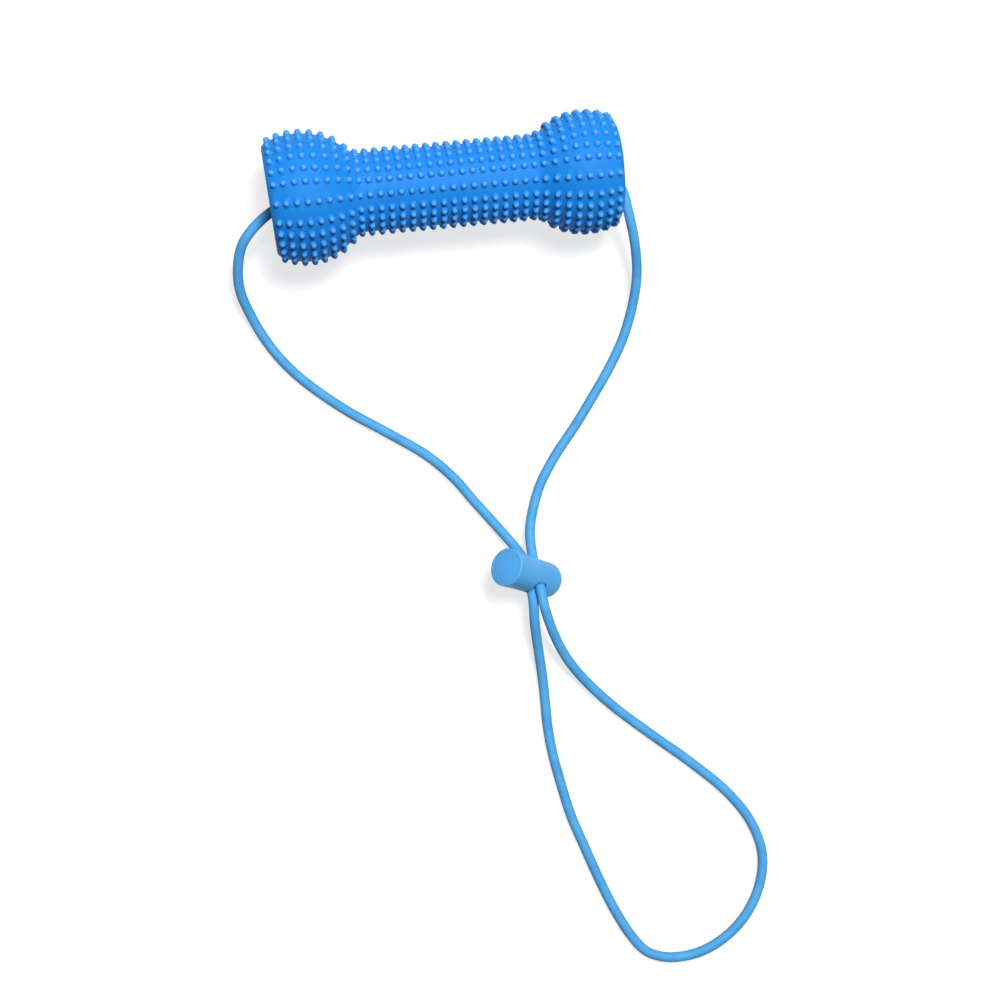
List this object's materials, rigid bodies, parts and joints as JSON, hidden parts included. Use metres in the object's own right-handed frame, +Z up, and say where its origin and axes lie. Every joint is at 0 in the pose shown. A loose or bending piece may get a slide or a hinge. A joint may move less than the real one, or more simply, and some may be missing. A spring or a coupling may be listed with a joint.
{
  "type": "dog teething stick",
  "caption": "Rubber teething bone with rings of chewing nubs, threaded on an elastic cord that runs through a push-button cord lock and ends in a long hand loop.",
  "frame": {"origin": "on the resting surface, under the middle of the bone", "axes": "+X along the bone to its smaller end, +Z up, and the lock and the hand loop lie towards -Y"},
  "size_m": [0.1689, 0.3096, 0.0469],
  "materials": {
    "bone_rubber": "satin, slightly soft",
    "cord_elastic": "smooth woven sheath",
    "lock_plastic": "satin moulded",
    "joiner_plastic": "matt moulded",
    "spring_steel": "drawn wire"
  },
  "bodies": {
    "cord_and_lock": {"cord_bore_left": "cord_elastic", "cord_bore_right": "cord_elastic", "cord_left": "cord_elastic", "cord_right": "cord_elastic", "cord_loop": "cord_elastic", "cord_joiner": "joiner_plastic", "lock_barrel": "lock_plastic", "lock_spring": "spring_steel"},
    "bone": {"chew_bone": "bone_rubber"},
    "plunger": {"lock_plunger": "lock_plastic"}
  },
  "joints": [
    {"name": "bone_turn", "type": "hinge", "parent": "cord_and_lock", "child": "bone", "pos_m": [0, 0, 0.02265], "axis": [0.9999, 0, -0.0171], "continuous": true},
    {"name": "plunger_press", "type": "slide", "parent": "cord_and_lock", "child": "plunger", "axis": [0.644, -0.2921, -0.7071], "range_m": [0, 0.0024], "stiffness_N_per_m": 800, "springref_m": -0.003, "deforming": ["lock_spring"]}
  ]
}
